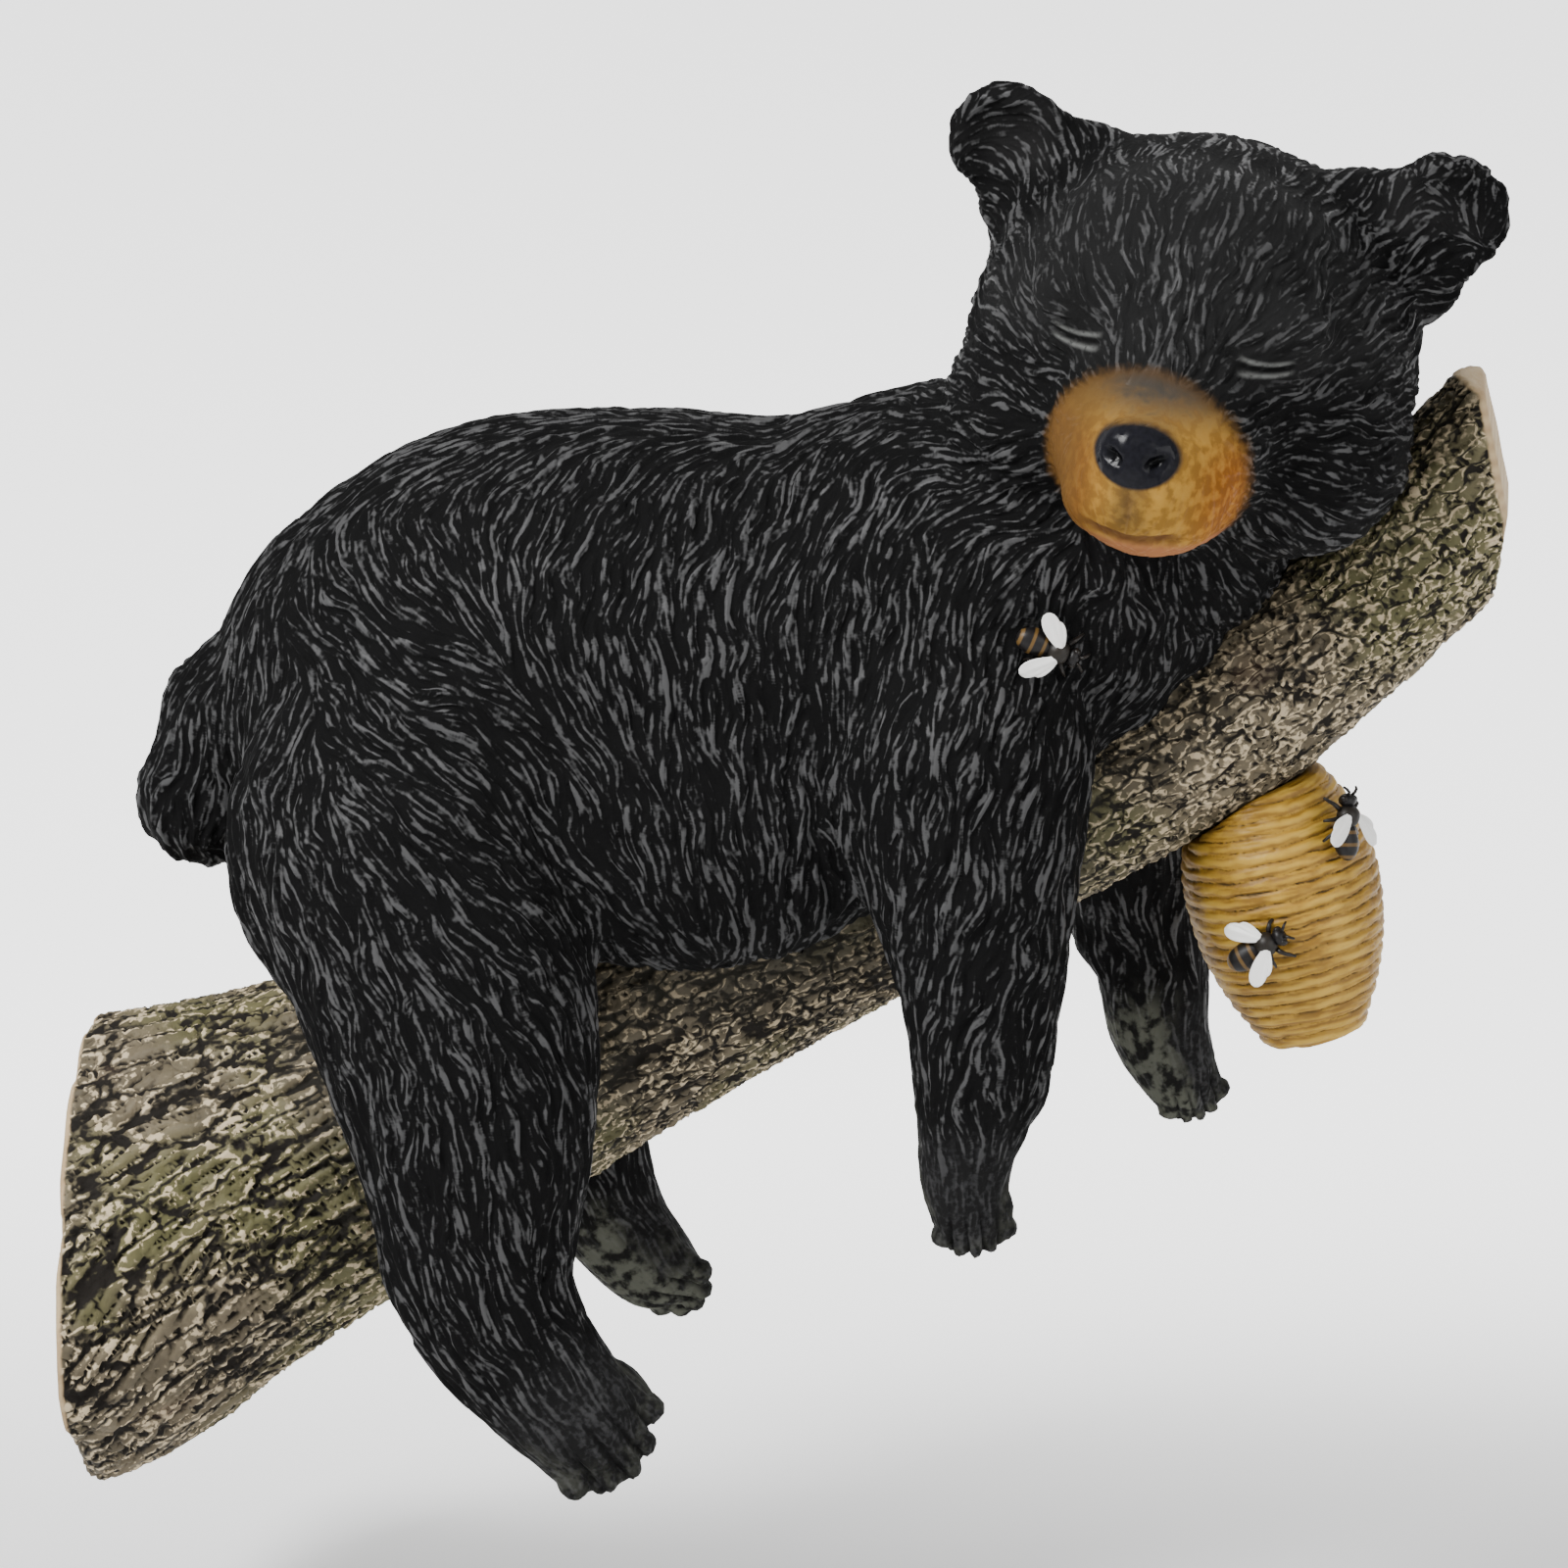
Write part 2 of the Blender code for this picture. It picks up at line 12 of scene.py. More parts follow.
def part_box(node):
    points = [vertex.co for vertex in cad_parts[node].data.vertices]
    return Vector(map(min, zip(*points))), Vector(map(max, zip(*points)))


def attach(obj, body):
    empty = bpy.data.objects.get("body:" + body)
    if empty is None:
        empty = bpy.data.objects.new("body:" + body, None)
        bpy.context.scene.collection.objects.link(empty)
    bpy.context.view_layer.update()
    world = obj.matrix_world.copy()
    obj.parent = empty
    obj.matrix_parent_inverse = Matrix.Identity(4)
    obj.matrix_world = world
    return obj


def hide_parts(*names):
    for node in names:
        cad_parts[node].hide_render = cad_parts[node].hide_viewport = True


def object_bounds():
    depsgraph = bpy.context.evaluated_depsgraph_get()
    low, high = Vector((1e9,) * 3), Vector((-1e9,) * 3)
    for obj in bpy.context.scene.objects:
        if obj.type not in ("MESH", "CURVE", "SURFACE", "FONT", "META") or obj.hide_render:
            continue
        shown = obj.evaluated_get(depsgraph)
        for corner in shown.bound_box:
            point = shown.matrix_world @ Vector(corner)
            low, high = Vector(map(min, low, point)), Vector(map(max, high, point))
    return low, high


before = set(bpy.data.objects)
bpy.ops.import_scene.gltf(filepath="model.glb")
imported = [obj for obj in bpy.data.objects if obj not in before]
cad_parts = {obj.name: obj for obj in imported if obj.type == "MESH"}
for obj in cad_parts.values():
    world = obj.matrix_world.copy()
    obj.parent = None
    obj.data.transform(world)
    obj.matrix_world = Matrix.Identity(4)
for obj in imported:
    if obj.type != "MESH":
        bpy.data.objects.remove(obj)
cad_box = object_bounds()


# The cub is one hollow resin casting. Its coat is carved in the mould as short combed locks, then
# painted black and brushed with grey, so that the crests are pale and the grooves stay dark.

def settled(thing):
    """Applies an object's modifiers, so that it holds a plain mesh."""
    graph = bpy.context.evaluated_depsgraph_get()
    fresh = bpy.data.meshes.new_from_object(thing.evaluated_get(graph))
    thing.modifiers.clear()
    thing.data = fresh
    return thing


def fine_skin(name, solid, grain, added=None):
    """An even skin of small faces over a solid and what is added to it, as a new object."""
    made = bpy.data.objects.new(name, solid.data.copy())
    bpy.context.scene.collection.objects.link(made)
    weld = made.modifiers.new("weld", "WELD")
    weld.merge_threshold = 0.000002
    round_off = made.modifiers.new("round off", "SUBSURF")
    round_off.levels = round_off.render_levels = 1
    if added:
        settled(made)
        added.from_mesh(made.data)
        added.to_mesh(made.data)
        added.free()
    skin = made.modifiers.new("skin", "REMESH")
    skin.mode = "VOXEL"
    skin.voxel_size = grain
    return settled(made)


def points_of(mesh):
    places = np.empty(len(mesh.vertices) * 3, dtype=np.float32)
    mesh.vertices.foreach_get("co", places)
    return places.reshape(-1, 3).astype(float)


def normals_of(mesh):
    normals = np.empty(len(mesh.vertices) * 3, dtype=np.float32)
    mesh.vertex_normals.foreach_get("vector", normals)
    return normals.reshape(-1, 3).astype(float)


def move_points(mesh, places):
    mesh.vertices.foreach_set("co", places.astype(np.float32).ravel())
    mesh.update()


def eased(mesh, places, share, times):
    """The places after each has moved a share of the way to the middle of its neighbours, some times over."""
    ends = np.empty(len(mesh.edges) * 2, dtype=np.int32)
    mesh.edges.foreach_get("vertices", ends)
    one, other = ends.reshape(-1, 2).T
    count = len(places)
    friends = np.bincount(one, minlength=count) + np.bincount(other, minlength=count)
    for _ in range(times):
        for axis in range(3):
            line = places[:, axis]
            total = np.bincount(one, line[other], count) + np.bincount(other, line[one], count)
            places[:, axis] = line + share * (total / friends - line)
    return places


def thinned(thing, triangles):
    """The same skin in at most so many triangles. Each face of a fine skin counts as two."""
    thin = thing.modifiers.new("fewer faces", "DECIMATE")
    thin.ratio = min(1, triangles / (2 * len(thing.data.polygons)))
    settled(thing)
    thing.data.shade_smooth()
    return thing


def note(mesh, name, values):
    """Keeps one number for each point, for the paint to read."""
    mesh.attributes.new(name, "FLOAT", "POINT").data.foreach_set("value", values.astype(np.float32))


def rise(values, low, high):
    """0 up to the low bound, 1 from the high bound, and a smooth rise in the middle."""
    share = np.clip((values - low) / (high - low), 0, 1)
    return share * share * (3 - 2 * share)


def sampled(lattice, spots):
    """The values of a lattice at places between its cells. The lattice repeats past its ends."""
    low = np.floor(spots).astype(int)
    share = spots - low
    total = 0
    for corner in itertools.product((0, 1), repeat=3):
        index = (low + corner) % lattice.shape[:3]
        weight = np.prod(np.where(corner, share, 1 - share), axis=1)
        total = total + (lattice[tuple(index.T)].T * weight).T
    return total


class Gouge:
    """A carving tool of one width: waves of that width in random places, which repeat every 128 cells."""

    CELLS = 3.6
    SIDE = 128

    def __init__(self, width, seed, spread=0.34):
        waves = np.fft.rfftn(np.random.default_rng(seed).standard_normal((self.SIDE,) * 3))
        across = np.fft.fftfreq(self.SIDE)
        last = np.fft.rfftfreq(self.SIDE)
        pitch = np.sqrt(across[:, None, None] ** 2 + across[None, :, None] ** 2 + last ** 2) * self.CELLS
        values = np.fft.irfftn(waves * np.exp(-(((pitch - 1) / spread) ** 2)), s=(self.SIDE,) * 3)
        self.values = (values / values.std()).astype(np.float32)
        self.cell = width / self.CELLS

    def at(self, places):
        return sampled(self.values, places / self.cell)


def combed(gouge, places, normals, flow, run, steps=9):
    """Carved ridges that run with a flow over a surface: the gouge's marks drawn out along it both ways."""
    marks = gouge.at(places)
    for way in (-1, 1):
        spots = places.copy()
        for i in range(1, steps + 1):
            ahead = flow(spots)
            ahead = ahead - normals * (ahead * normals).sum(1)[:, None]
            ahead /= np.linalg.norm(ahead, axis=1)[:, None] + 1e-9
            spots += ahead * way * run / steps
            marks = marks + gouge.at(spots) * math.cos(math.pi / 2 * i / (steps + 1))
    return marks / marks.std()


cub_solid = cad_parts["bear"]
cub_low, cub_high = (np.array(corner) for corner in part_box("bear"))
UNIT = (cub_high[2] - cub_low[2]) / 100


def on_cub(x, y, z):
    """A place in hundredths of the cub's height, from its rump, its middle and its lowest claw."""
    return np.array((cub_low[0], 0, cub_low[2])) + np.array((x, y, z)) * UNIT


# Each stroke of the comb passes through these places on the near side, and the far side mirrors it
STROKES = [
    [(67, 0, 79), (52, 0, 76), (32, 0, 75), (13, 0, 71), (8, 0, 60), (3, 0, 46)],
    [(11, -14, 67), (16, -15, 63), (22, -16, 59), (29, -17, 58), (33, -17, 53), (35, -17, 45)],
    [(17, -17, 55), (22, -18, 50), (28, -18, 46), (33, -17, 43), (36, -16, 38)],
    [(13, -15, 59), (12, -15, 50), (14, -16, 43), (18, -17, 37)],
    [(19, -17, 45), (23, -18, 37), (24, -17, 28), (24, -17, 19), (26, -18, 13), (32, -18, 6)],
    [(36, -8, 75), (31, -14, 67), (31, -17, 60)],
    [(45, -8, 75), (41, -15, 64), (42, -17, 54), (44, -14, 41)],
    [(53, -8, 75), (49, -15, 65), (50, -17, 54), (50, -14, 44)],
    [(63, -8, 77), (58, -14, 67), (57, -17, 57), (56, -15, 48)],
    [(70, -13, 65), (66, -15, 57), (62, -16, 49), (61, -16, 42)],
    [(65, -16, 43), (61, -16, 35), (61, -16, 27), (62, -16, 19)],
    [(79, -9, 71), (76, -10, 64), (72, -10, 57), (69, -12, 49), (72, -14, 38), (74, -15, 26)],
]
FLOW_CELL = 0.006
head = Matrix.Translation(on_cub(76.2, -4.55, 80.3)) @ (
    Matrix.Rotation(math.radians(7.5), 4, "Y")
    @ Matrix.Rotation(math.radians(-6), 4, "Z")
    @ Matrix.Rotation(math.radians(3), 4, "X")
)
head_axes = np.array(head.to_3x3())
head_middle = np.array(head.translation)


def head_places(places):
    """Places in the head's own axes, in units: across to the cub's left ear, ahead and above."""
    turned = (places - head_middle) @ head_axes / UNIT
    return turned[:, 0], -turned[:, 1], turned[:, 2]


def coat_flow(spots):
    """The way the hair lies: away from the nose on the head, and along the comb's strokes elsewhere."""
    near = spots * (1, 1, 1)
    near[:, 1] = -np.abs(near[:, 1])
    ahead = np.zeros_like(spots)
    for stroke in STROKES:
        for one, other in zip(stroke, stroke[1:]):
            start, end = on_cub(*one), on_cub(*other)
            way = (end - start) / np.linalg.norm(end - start)
            apart = ((near - (start + end) / 2) ** 2).sum(1) / UNIT ** 2
            ahead += way / (apart[:, None] + 9) ** 2
    ahead[:, 1] *= -np.sign(spots[:, 1])
    ahead /= np.linalg.norm(ahead, axis=1)[:, None]
    across, forward, above = head_places(spots)
    away = (spots - head_middle) @ head_axes - np.array((0, -23, -1)) * UNIT
    away = away @ head_axes.T
    away /= np.linalg.norm(away, axis=1)[:, None]
    on_face = (1 - rise(np.sqrt(across ** 2 + forward ** 2 + above ** 2), 18, 25)) * rise(forward, -12, -2)
    return ahead * (1 - on_face[:, None]) + away * on_face[:, None]


counts = np.ceil((cub_high - cub_low) / FLOW_CELL).astype(int) + 3
cells = np.stack(np.meshgrid(*(np.arange(n) for n in counts), indexing="ij"), -1).reshape(-1, 3)
flow_lattice = coat_flow(cub_low + (cells - 1) * FLOW_CELL).reshape(*counts, 3)

# The hair wanders a little from the comb's way, in tufts of about a centimetre
halves = np.stack(np.meshgrid(*(np.arange(2 * n - 1) / 2 for n in counts), indexing="ij"), -1).reshape(-1, 3)
tufts = [Gouge(0.011, seed).at(cub_low + (halves - 1) * FLOW_CELL) for seed in (11, 12, 13)]
wavy_lattice = (sampled(flow_lattice, halves) + 0.34 * np.stack(tufts, -1)).reshape(*(2 * counts - 1), 3)


def coat_way(spots):
    return sampled(wavy_lattice, (spots - cub_low) / FLOW_CELL * 2 + 2)


# Each paw: where its five toes fan from, the way they point, the way across them, half their spread and their
# size, all in hundredths of the cub's height
PAWS = [
    ((35.6, -18.5, 4.0), (0.62, -0.16, -0.77), (0.66, 0.42, 0.62), 3.8, 2.03),
    ((37.8, 16.8, 4.5), (0.72, 0.05, -0.69), (0.55, -0.55, 0.62), 2.9, 1.65),
    ((61.6, -15.3, 19.5), (0.10, -0.12, -0.99), (0.97, 0.12, 0.10), 2.3, 1.40),
    ((76.2, 14.7, 20.6), (0.35, 0.0, -0.93), (0.90, 0.25, 0.34), 2.1, 1.26),
]


def near_line(places, start, end):
    """How far each place is from a straight line between two places."""
    along = end - start
    share = np.clip((places - start) @ along / (along @ along), 0, 1)
    return np.linalg.norm(places - start - share[:, None] * along, axis=1)


def toes_of(paw):
    """Each toe's middle, and the way that it points."""
    root, way, across, spread, size = paw
    way = np.array(way) / np.linalg.norm(way)
    across = np.array(across) / np.linalg.norm(across)
    for i in range(-2, 3):
        yield on_cub(*root) + (across * spread * i / 2 + way * 0.45 * spread * (1 - (i / 2) ** 2)) * UNIT, way


def round_toe(shape, middle, way, radius):
    """A long ball that lies along the toe, and a blunt claw in its end."""
    turn = Vector(way).to_track_quat("Z", "Y").to_matrix().to_4x4()
    for reach, girth, length in ((0.28, 0.60, 0.64), (0.74, 0.16, 0.20), (0.84, 0.10, 0.14)):
        place = Matrix.Translation(Vector(middle + way * reach * radius))
        size = Matrix.Diagonal((girth * radius, girth * radius, length * radius, 1))
        bmesh.ops.create_icosphere(shape, subdivisions=2, radius=1, matrix=place @ turn @ size)


toes_and_claws = bmesh.new()
for paw in PAWS:
    for toe, way in toes_of(paw):
        round_toe(toes_and_claws, toe, way, paw[4] * UNIT)
cub = fine_skin("cub_coat", cub_solid, 0.00055, toes_and_claws)
places = points_of(cub.data)
normals = normals_of(cub.data)
claws = np.zeros(len(places))
toes = np.zeros(len(places))
gaps = np.zeros(len(places))
paws = np.zeros(len(places))
sole = np.zeros(len(places))
for paw in PAWS:
    root, way, across, spread, size = paw
    across = np.array(across) / np.linalg.norm(across)
    long = size * UNIT
    claw_paint = 1.0 if root[2] > 10 else 0.5
    for toe, way in toes_of(paw):
        apart = near_line(places, toe + way * long * 0.80, toe + way * long * 1.1) / long
        claws = np.maximum(claws, (1 - rise(apart, 0.18, 0.28)) * claw_paint)
        apart = near_line(places, toe - way * long * 1.4, toe) / long
        toes = np.maximum(toes, 1 - rise(apart, 0.7, 1.1))
    from_root = places - on_cub(*root)
    from_toes = np.linalg.norm(from_root, axis=1) / UNIT
    aside = from_root @ across / (spread * UNIT / 2)
    onward = from_root @ way / long
    near_toes = rise(onward, -1.3, -0.3) * (1 - rise(np.abs(aside), 1.9, 2.3))
    near_toes *= 1 - rise(from_toes / spread, 2.2, 2.6)
    gaps = np.maximum(gaps, (1 - rise(np.abs(aside % 1 - 0.5), 0.0, 0.2)) * near_toes)
    paws = np.maximum(paws, 1 - rise(from_toes, 4.0, 10.5))
    facing = normals @ np.array((-0.5, -0.6 * np.sign(root[1]), -0.6))
    sole = np.maximum(sole, rise(facing, 0.35, 0.65) * (1 - rise(from_toes, 8.0, 11.0)))
across, forward, above = head_places(places)
on_head = 1 - rise(np.sqrt(across ** 2 + forward ** 2 + above ** 2), 18, 25)
fine = np.maximum.reduce([claws, toes, rise(forward, 19.5, 22) * on_head, rise(above, 12, 16) * 0.8])
places = eased(cub.data, places, 0.5 * (1 - fine), 30)
move_points(cub.data, places)
normals = normals_of(cub.data)

# The hair is short on the muzzle, in the ears, round the eyes and on the toes, and long everywhere else
muzzle_ring = np.sqrt((across + 0.5) ** 2 + (above + 3.2) ** 2)
muzzle = (1 - rise(muzzle_ring, 6.3, 8.4)) * rise(forward, 9, 12)
wide_by = np.abs(across)
ear_cup = rise(above, 11, 13) * rise(wide_by, 11, 13) * rise(normals @ -head_axes[:, 1], 0.2, 0.6) * on_head
mouth = (1 - rise(np.abs(above + 6.9 - 0.16 * wide_by), 0.1, 0.8)) * (1 - rise(wide_by, 2.4, 4.2))
parting = (1 - rise(np.abs(across + 0.3), 0.1, 0.5)) * rise(-above, 2.2, 3.0) * (1 - rise(-above, 6.4, 7.0))
mouth = np.maximum(mouth, parting * 0.45) * rise(forward, 14, 16)
nostril_x = (np.abs(across + 0.3) - 1.55) / 0.85
nostril = 1 - rise(np.sqrt(nostril_x ** 2 + ((above + 0.5 - nostril_x * 0.3) / 0.6) ** 2), 0.35, 1.1)
nostril *= rise(forward, 21, 23)
eye_x = (wide_by - 6.7) / 1.9
in_front = rise(forward, 8, 10)
from_lid = np.abs(above - 4.2 - 0.35 * eye_x ** 2)
eye = (1 - rise(from_lid, 0.05, 0.4)) * (1 - rise(np.abs(eye_x), 0.7, 1.2)) * in_front
socket = (1 - rise(np.sqrt(eye_x ** 2 + ((above - 4.3) / 1.3) ** 2), 0.8, 1.4)) * in_front
bare = np.maximum.reduce([muzzle, ear_cup * 0.8, toes * 0.7, paws * 0.6, claws, sole * 0.85, socket * 0.8])

# The mould is finest where it is seen, and the side that hangs away from the viewer has broader, lower locks
far_side = rise(places[:, 1], 0.01, 0.05)
fur = np.zeros(len(places))
for width, seed, run, share in (
    (0.0028, 4, 0.0050, (1 - on_head) * (1 - far_side)),
    (0.0024, 5, 0.0038, on_head * (1 - far_side)),
    (0.0034, 6, 0.0065, far_side),
):
    here = share > 0
    fur[here] += combed(Gouge(width, seed), places[here], normals[here], coat_way, run) * share[here]
locks = rise(fur, -0.9, 1.6)
down = combed(Gouge(0.0015, seed=9), places, normals, coat_way, run=0.0016, steps=3)
ears = rise(above, 11, 14) * on_head
height = (locks - 0.4) * (1 - bare) * 0.0010 * (1 - 0.3 * far_side) * (1 - 0.6 * ears)
height += np.tanh(down) * bare * (1 - claws) * 0.00009
height -= gaps * 0.0007 + mouth * 0.0009 + nostril * 0.0022 + eye * 0.0008
move_points(cub.data, places + normals * height[:, None])
along_coat = coat_way(places)
along_coat -= normals * (along_coat * normals).sum(1)[:, None]
along_coat /= np.linalg.norm(along_coat, axis=1)[:, None] + 1e-9
note(cub.data, "fur", locks * (1 - bare) + (0.3 + np.tanh(down) * 0.3) * bare)
# The toe gaps, nostrils and eye grooves are noted for the painted shade in them
note(cub.data, "gap", np.maximum.reduce([gaps, nostril, eye * 0.9]))
note(cub.data, "mouth", mouth)
note(cub.data, "paw", paws)
note(cub.data, "muzzle", muzzle)
note(cub.data, "sole", np.maximum(sole, toes * 0.25))
note(cub.data, "claw", claws)
note(cub.data, "ear", ear_cup)
ways = cub.data.attributes.new("hair way", "FLOAT_VECTOR", "POINT")
ways.data.foreach_set("vector", along_coat.astype(np.float32).ravel())
cub = thinned(cub, 197000)


class Wire:
    """A socket of a material, so that shader maths reads as sums. Any other node comes from node()."""

    def __init__(self, tree, socket=None):
        self.tree = tree
        self.socket = socket

    def node(self, kind, settings=None, sockets=None, out=0):
        made = self.tree.nodes.new(kind)
        for name, value in (settings or {}).items():
            if name == "stops":
                ramp = made.color_ramp.elements
                while len(ramp) < len(value):
                    ramp.new(1)
                for element, (place, colour) in zip(ramp, value):
                    element.position = place
                    element.color = (*colour, 1)
            else:
                setattr(made, name, value)
        for name, value in (sockets or {}).items():
            if isinstance(value, Wire):
                self.tree.links.new(value.socket, made.inputs[name])
            else:
                made.inputs[name].default_value = value
        return Wire(self.tree, made.outputs[out]) if len(made.outputs) else made

    def maths(self, operation, *values):
        return self.node("ShaderNodeMath", {"operation": operation}, dict(enumerate(values)))

    def __add__(self, other):
        return self.maths("ADD", self, other)

    def __mul__(self, other):
        return self.maths("MULTIPLY", self, other)

    def __sub__(self, other):
        return self.maths("SUBTRACT", self, other)

    def __rsub__(self, other):
        return self.maths("SUBTRACT", other, self)

    def __truediv__(self, other):
        return self.maths("DIVIDE", self, other)

    __radd__ = __add__
    __rmul__ = __mul__

    def rise(self, low, high):
        """0 up to the low bound, 1 from the high bound, and a smooth rise in the middle."""
        settings = {"interpolation_type": "SMOOTHSTEP"}
        return self.node("ShaderNodeMapRange", settings, {"Value": self, "From Min": low, "From Max": high})

    def band(self, middle, half):
        """1 at a value, and down to 0 a half width to each side of it."""
        return 1 - self.maths("ABSOLUTE", self - middle).rise(0, half)

    def mix(self, low, high):
        """The colour between two, where this mask is 0 and where it is 1."""
        low, high = (c if isinstance(c, Wire) else (*c, 1) for c in (low, high))
        return self.node("ShaderNodeMix", {"data_type": "RGBA"}, {0: self, 6: low, 7: high}, out=2)

    def noted(self, name):
        return self.node("ShaderNodeAttribute", {"attribute_name": name}, out=2)

    def noise(self, size, detail=2, rough=0.5, at=None):
        """Soft noise with swells of a size in metres."""
        at = at or self.node("ShaderNodeTexCoord", out=3)
        sockets = {"Vector": at, "Scale": 1 / size, "Detail": detail, "Roughness": rough}
        return self.node("ShaderNodeTexNoise", {}, sockets)

    def ahead(self, way, start):
        """A place some way on from a start, where this wire is the direction."""
        sockets = {0: self, 1: (way,) * 3, 2: start}
        return self.node("ShaderNodeVectorMath", {"operation": "MULTIPLY_ADD"}, sockets)

    def place(self, axis):
        """One of the three coordinates on the object, in metres."""
        where = self.node("ShaderNodeTexCoord", out=3)
        return self.node("ShaderNodeSeparateXYZ", {}, {"Vector": where}, out=axis)

    def bumped(self, height, strength, depth):
        """The surface's normal, tilted by a height that is at most some depth in metres."""
        return self.node("ShaderNodeBump", {}, {"Height": height, "Strength": strength, "Distance": depth})


def finish_of(name, **plain):
    """A new material, its first wire, and a call that wires its shader."""
    made = bpy.data.materials.new(name)
    made.use_nodes = True
    shader = made.node_tree.nodes["Principled BSDF"]
    for socket, value in plain.items():
        shader.inputs[socket.replace("_", " ")].default_value = value

    def wire(**sockets):
        for socket, value in sockets.items():
            made.node_tree.links.new(value.socket, shader.inputs[socket.replace("_", " ")])

    return made, Wire(made.node_tree), wire


coat_paint, paint, wire = finish_of("cub_coat_paint", Specular_IOR_Level=0.10)
fur_wire = paint.noted("fur")
speckle = paint.noise(0.0011, 2)
patch = paint.noise(0.022, 2)

# Single hairs are brushed out of the locks: noise drawn out along the way that the coat lies
HAIR_WIDTH = 0.00105
HAIR_STEP = 0.0007
HAIR_STEPS = range(-4, 5)
hair_way = paint.node("ShaderNodeAttribute", {"attribute_name": "hair way"}, out=1)
here = paint.node("ShaderNodeTexCoord", out=3)
hairs = 0
for i in HAIR_STEPS:
    hairs = hairs + paint.noise(HAIR_WIDTH, 0, at=hair_way.ahead(i * HAIR_STEP, here)) / len(HAIR_STEPS)
strand = (hairs + (fur_wire - 0.5) * 0.05 + (patch - 0.5) * 0.04).rise(0.500, 0.595)
coat = strand.mix((0.0022, 0.0022, 0.0023), (0.056, 0.056, 0.057))
fuzz = (paint.noise(0.0014, 3) + (hairs - 0.5)).rise(0.42, 0.66)
fuzz = fuzz.mix((0.008, 0.008, 0.008), (0.026, 0.026, 0.027))
coat = (paint.noted("paw") * 0.85).mix(coat, fuzz)
spots = paint.node("ShaderNodeMapping", {}, {
    "Vector": paint.node("ShaderNodeTexCoord", out=3),
    "Location": tuple(-(head_middle @ head_axes) / UNIT),
    "Rotation": tuple((head.to_3x3().inverted()).to_euler()),
    "Scale": (1 / UNIT, 1 / UNIT, 1 / UNIT),
})
head_split = paint.node("ShaderNodeSeparateXYZ", {}, {"Vector": spots}).socket.node
face_x, face_y, face_z = (Wire(paint.tree, head_split.outputs[i]) for i in range(3))
wide = paint.maths("ABSOLUTE", face_x)
front = 0 - face_y
brow = (face_z - 1.0).rise(0, 4) * front.rise(2, 7)
coat = (brow * 0.35).mix(coat, (0.018, 0.018, 0.018))
golden = (0.31, 0.165, 0.028)
amber = (0.24, 0.080, 0.008)
snout_speckle = paint.noise(0.0024, 3)
warm = (wide.rise(2.5, 6.0) + (0 - face_x).rise(1.0, 5.0) * 0.6) * (1 - (face_z + 3.5).rise(1.5, 5.5))
tan = warm.mix(golden, amber)
tan = (snout_speckle.rise(0.45, 0.75) * 0.30).mix(tan, (0.50, 0.29, 0.06))
tan = (snout_speckle.rise(0.56, 0.40) * 0.40).mix(tan, (0.085, 0.032, 0.006))
tan = ((face_z - 0.6 + (snout_speckle - 0.5) * 2.0).rise(-0.5, 3.0)).mix(tan, (0.040, 0.034, 0.027))
tan = ((0 - face_z).rise(6.6, 7.6) * 0.8).mix(tan, (0.33, 0.13, 0.06))
# Painted shade: a dark patch below the nose, down towards the mouth
nose_shade = (face_x + 0.4).band(0, 2.2) * (0 - face_z).rise(1.6, 2.6) * (1 - (0 - face_z).rise(4.5, 7.2))
# Painted shade: the muzzle darkens towards the cub's right cheek
tan = ((0 - face_x).rise(1.0, 5.5) * 0.85).mix(tan, (0.090, 0.048, 0.013))
tan = (nose_shade * 0.6).mix(tan, (0.030, 0.026, 0.016))
tan = (paint.noted("mouth").rise(0.1, 1.0) * 0.75).mix(tan, (0.060, 0.018, 0.010))
# Painted shade: the muzzle darkens towards its rim
tan = ((1 - paint.noted("muzzle")).rise(0.05, 0.6) * 0.7).mix(tan, (0.060, 0.028, 0.006))
muzzle_wire = (paint.noted("muzzle") + (snout_speckle - 0.5) * 0.25 + (hairs - 0.5) * 0.8).rise(0.18, 0.70)
coat = muzzle_wire.mix(coat, tan)
nose_x = face_x + 0.3
nose_z = face_z + 0.4
nose = (1 - (nose_x * nose_x / 10.2 + nose_z * nose_z / 5.0).rise(0.8, 1.1)) * front.rise(20.5, 21.5)
coat = nose.mix(coat, speckle.mix((0.003, 0.003, 0.004), (0.012, 0.012, 0.016)))
lid_x = (wide - 6.7) / 1.8
lid_z = face_z - 4.2 + lid_x * lid_x * -0.35
socket = (1 - (lid_x * lid_x + lid_z * lid_z / 2.2).rise(0.5, 1.7)) * front.rise(8, 10)
coat = (socket * 0.7).mix(coat, (0.006, 0.006, 0.006))
lids = lid_z.band(-0.36, 0.32) + lid_z.band(0.46, 0.32)
lid = lids * (1 - (lid_x * lid_x).rise(0.4, 1.3)) * front.rise(8, 10)
coat = (lid * speckle.rise(0.15, 0.5)).mix(coat, (0.105, 0.107, 0.103))
mottle = paint.noise(0.0032, 3).rise(0.40, 0.60).mix((0.006, 0.006, 0.005), (0.085, 0.088, 0.070))
coat = (paint.noted("sole") * 0.9).mix(coat, mottle)
coat = (paint.noted("ear") * 0.2).mix(coat, (0.03, 0.029, 0.029))
claw_colour = paint.noted("claw").rise(0.55, 0.9).mix((0.016, 0.015, 0.013), (0.17, 0.16, 0.14))
coat = paint.noted("claw").rise(0.2, 0.5).mix(coat, claw_colour)
# Painted shade: the toe gaps, nostrils and eye grooves are painted near black
coat = (paint.noted("gap") * 0.9).mix(coat, (0.0015, 0.0015, 0.0015))
bump = paint.bumped(hairs * 4 * (1 - muzzle_wire), 0.5, 0.0005)
wire(Base_Color=coat, Roughness=0.85 - strand * 0.40 - nose * 0.60, Normal=bump)
cub.data.materials.clear()
cub.data.materials.append(coat_paint)
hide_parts("bear")
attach(cub, "root")
